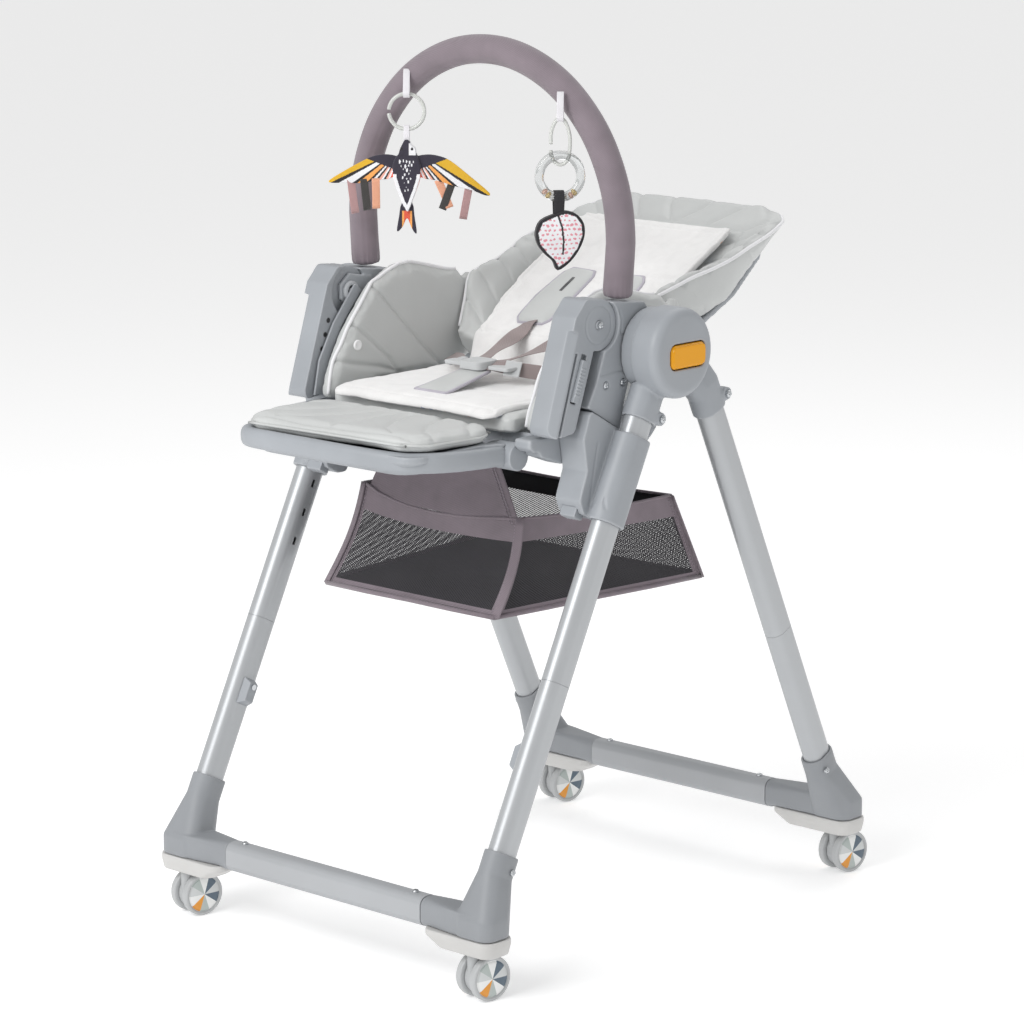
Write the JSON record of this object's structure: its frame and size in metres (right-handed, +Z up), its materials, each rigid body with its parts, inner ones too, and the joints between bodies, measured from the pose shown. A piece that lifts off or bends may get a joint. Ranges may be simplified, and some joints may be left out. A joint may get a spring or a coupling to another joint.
{
  "type": "folding baby high chair",
  "caption": "Folding wheeled high chair: reclining padded seat that slides on the front legs, leg rest, swing arms, play arch with hanging toys, basket and brake casters.",
  "frame": {"origin": "on the floor under the middle of the chair's box, midway between the front and rear wheels", "axes": "+Z up, the chair faces -Y, +X to the left hand of a child sitting in it"},
  "size_m": [0.636, 0.8233, 1.1995],
  "materials": {
    "frame_grey": "satin cool grey moulding",
    "foot_grey": "satin mid grey moulding",
    "tube_metal": "satin grey powder coat",
    "sole_plastic": "satin warm light grey moulding",
    "pedal_plastic": "satin grey moulding",
    "screw_metal": "polished",
    "button_amber": "glossy amber",
    "seat_cover": "soft matt coated fabric, quilted",
    "liner_plush": "off-white plush",
    "mauve_fabric": "woven mauve-grey polyester",
    "toy_ring_plastic": "pale translucent",
    "bird_fabric": "printed navy cotton",
    "leaf_fabric": "printed white cotton"
  },
  "bodies": {
    "front_frame": {"front_cross_bar": "foot_grey", "front_feet": "foot_grey", "front_foot_soles": "sole_plastic", "front_lower_tubes": "tube_metal", "front_upper_tubes": "tube_metal", "front_hubs": "frame_grey", "fold_bumpers": "frame_grey", "front_screws": "screw_metal"},
    "rear_frame": {"rear_cross_bar": "foot_grey", "rear_feet": "foot_grey", "rear_foot_soles": "sole_plastic", "rear_lower_tubes": "tube_metal", "rear_upper_tubes": "tube_metal", "rear_hubs": "frame_grey", "rear_screws": "screw_metal"},
    "fold_button_left": {"fold_button_left": "button_amber"},
    "fold_button_right": {"fold_button_right": "button_amber"},
    "carriage": {"sliders": "frame_grey", "brackets": "frame_grey", "seat_pan": "frame_grey", "seat_cushion": "seat_cover", "side_wings": "seat_cover", "seat_liner": "liner_plush", "crotch_strap": "seat_cover", "harness_buckle": "sole_plastic", "basket": "mauve_fabric", "basket_panel": "mauve_fabric", "carriage_screws": "screw_metal"},
    "height_trigger_left": {"height_trigger_left": "frame_grey"},
    "height_trigger_right": {"height_trigger_right": "frame_grey"},
    "backrest": {"backrest_shell": "frame_grey", "backrest_cushion": "seat_cover", "backrest_liner": "liner_plush", "shoulder_pads": "seat_cover"},
    "recline_lever": {"recline_lever": "frame_grey"},
    "legrest": {"legrest_tube": "frame_grey", "legrest_pan": "frame_grey", "legrest_cushion": "seat_cover"},
    "arm_left": {"arm_left": "frame_grey"},
    "arm_right": {"arm_right": "frame_grey"},
    "arm_lever_left": {"arm_lever_left": "frame_grey"},
    "arm_lever_right": {"arm_lever_right": "frame_grey"},
    "play_arch": {"play_arch": "mauve_fabric", "arch_plugs": "tube_metal"},
    "bird_toy": {"bird_ring": "toy_ring_plastic", "bird_body": "bird_fabric"},
    "leaf_toy": {"leaf_links": "toy_ring_plastic", "leaf_body": "leaf_fabric"},
    "caster_front_left_fork": {"caster_front_left_fork": "sole_plastic"},
    "caster_front_left_wheels": {"caster_front_left_wheels": "sole_plastic"},
    "caster_front_left_pedal": {"caster_front_left_pedal": "pedal_plastic"},
    "caster_front_right_fork": {"caster_front_right_fork": "sole_plastic"},
    "caster_front_right_wheels": {"caster_front_right_wheels": "sole_plastic"},
    "caster_front_right_pedal": {"caster_front_right_pedal": "pedal_plastic"},
    "caster_rear_left_fork": {"caster_rear_left_fork": "sole_plastic"},
    "caster_rear_left_wheels": {"caster_rear_left_wheels": "sole_plastic"},
    "caster_rear_left_pedal": {"caster_rear_left_pedal": "pedal_plastic"},
    "caster_rear_right_fork": {"caster_rear_right_fork": "sole_plastic"},
    "caster_rear_right_wheels": {"caster_rear_right_wheels": "sole_plastic"},
    "caster_rear_right_pedal": {"caster_rear_right_pedal": "pedal_plastic"}
  },
  "joints": [
    {"name": "fold", "type": "hinge", "parent": "front_frame", "child": "rear_frame", "pos_m": [0, -0.037, 0.801], "axis": [-1, 0, 0], "range_deg": [0, 42]},
    {"name": "height", "type": "slide", "parent": "front_frame", "child": "carriage", "axis": [0, -0.4462, -0.8949], "range_m": [0, 0.2]},
    {"name": "fold_button_left_press", "type": "slide", "parent": "front_frame", "child": "fold_button_left", "axis": [1, 0, 0], "range_m": [0, 0.006], "stiffness_N_per_m": 500, "springref_m": -0.003},
    {"name": "fold_button_right_press", "type": "slide", "parent": "front_frame", "child": "fold_button_right", "axis": [-1, 0, 0], "range_m": [0, 0.006], "stiffness_N_per_m": 500, "springref_m": -0.003},
    {"name": "height_trigger_left_squeeze", "type": "slide", "parent": "carriage", "child": "height_trigger_left", "axis": [0, 0.4462, 0.8949], "range_m": [0, 0.005], "stiffness_N_per_m": 500, "springref_m": -0.003},
    {"name": "height_trigger_right_squeeze", "type": "slide", "parent": "carriage", "child": "height_trigger_right", "axis": [0, 0.4462, 0.8949], "range_m": [0, 0.005], "stiffness_N_per_m": 500, "springref_m": -0.003},
    {"name": "recline", "type": "hinge", "parent": "carriage", "child": "backrest", "pos_m": [0, 0.02, 0.7], "axis": [1, 0, 0], "range_deg": [0, 45]},
    {"name": "recline_lever_squeeze", "type": "hinge", "parent": "backrest", "child": "recline_lever", "pos_m": [0, 0.34531, 0.87632], "axis": [1, 0, 0], "range_deg": [0, 5], "stiffness_Nm_per_rad": 2, "springref_deg": -5.73},
    {"name": "legrest_tilt", "type": "hinge", "parent": "carriage", "child": "legrest", "pos_m": [0, -0.212, 0.672], "axis": [1, 0, 0], "range_deg": [0, 72]},
    {"name": "arm_left_swing", "type": "hinge", "parent": "carriage", "child": "arm_left", "pos_m": [-0.226, -0.128, 0.842], "axis": [-1, 0, 0], "range_deg": [0, 40]},
    {"name": "arm_lever_left_pull", "type": "slide", "parent": "arm_left", "child": "arm_lever_left", "axis": [0, 0.3502, 0.9367], "range_m": [0, 0.005], "stiffness_N_per_m": 500, "springref_m": -0.003},
    {"name": "arm_right_swing", "type": "hinge", "parent": "carriage", "child": "arm_right", "pos_m": [0.226, -0.128, 0.842], "axis": [-1, 0, 0], "range_deg": [0, 40]},
    {"name": "arm_lever_right_pull", "type": "slide", "parent": "arm_right", "child": "arm_lever_right", "axis": [0, 0.3502, 0.9367], "range_m": [0, 0.005], "stiffness_N_per_m": 500, "springref_m": -0.003},
    {"name": "arch_lift", "type": "slide", "parent": "carriage", "child": "play_arch", "axis": [0, 0, 1], "range_m": [0, 0.07]},
    {"name": "bird_swing", "type": "hinge", "parent": "play_arch", "child": "bird_toy", "pos_m": [-0.125, -0.099, 1.117], "axis": [0.766, 0.6428, 0], "range_deg": [-20, 20]},
    {"name": "leaf_swing", "type": "hinge", "parent": "play_arch", "child": "leaf_toy", "pos_m": [0.157, -0.105, 1.105], "axis": [0.766, 0.6428, 0], "range_deg": [-20, 20]},
    {"name": "caster_front_left_swivel", "type": "hinge", "parent": "front_frame", "child": "caster_front_left_fork", "pos_m": [-0.268, -0.393, 0.06], "axis": [0, 0, 1], "continuous": true},
    {"name": "caster_front_left_roll", "type": "hinge", "parent": "caster_front_left_fork", "child": "caster_front_left_wheels", "pos_m": [-0.26539, -0.37823, 0.03], "axis": [0.9848, -0.1736, 0], "continuous": true},
    {"name": "caster_front_left_brake", "type": "hinge", "parent": "caster_front_left_fork", "child": "caster_front_left_pedal", "pos_m": [-0.26366, -0.36838, 0.047], "axis": [-0.9848, 0.1736, 0], "range_deg": [0, 12]},
    {"name": "caster_front_right_swivel", "type": "hinge", "parent": "front_frame", "child": "caster_front_right_fork", "pos_m": [0.268, -0.393, 0.06], "axis": [0, 0, 1], "continuous": true},
    {"name": "caster_front_right_roll", "type": "hinge", "parent": "caster_front_right_fork", "child": "caster_front_right_wheels", "pos_m": [0.2706, -0.37823, 0.03], "axis": [0.9848, -0.1736, 0], "continuous": true},
    {"name": "caster_front_right_brake", "type": "hinge", "parent": "caster_front_right_fork", "child": "caster_front_right_pedal", "pos_m": [0.27234, -0.36838, 0.047], "axis": [-0.9848, 0.1736, 0], "range_deg": [0, 12]},
    {"name": "caster_rear_left_swivel", "type": "hinge", "parent": "rear_frame", "child": "caster_rear_left_fork", "pos_m": [-0.268, 0.364, 0.06], "axis": [0, 0, 1], "continuous": true},
    {"name": "caster_rear_left_roll", "type": "hinge", "parent": "caster_rear_left_fork", "child": "caster_rear_left_wheels", "pos_m": [-0.26539, 0.37877, 0.03], "axis": [0.9848, -0.1736, 0], "continuous": true},
    {"name": "caster_rear_left_brake", "type": "hinge", "parent": "caster_rear_left_fork", "child": "caster_rear_left_pedal", "pos_m": [-0.26366, 0.38862, 0.047], "axis": [-0.9848, 0.1736, 0], "range_deg": [0, 12]},
    {"name": "caster_rear_right_swivel", "type": "hinge", "parent": "rear_frame", "child": "caster_rear_right_fork", "pos_m": [0.268, 0.364, 0.06], "axis": [0, 0, 1], "continuous": true},
    {"name": "caster_rear_right_roll", "type": "hinge", "parent": "caster_rear_right_fork", "child": "caster_rear_right_wheels", "pos_m": [0.2706, 0.37877, 0.03], "axis": [0.9848, -0.1736, 0], "continuous": true},
    {"name": "caster_rear_right_brake", "type": "hinge", "parent": "caster_rear_right_fork", "child": "caster_rear_right_pedal", "pos_m": [0.27234, 0.38862, 0.047], "axis": [-0.9848, 0.1736, 0], "range_deg": [0, 12]}
  ]
}
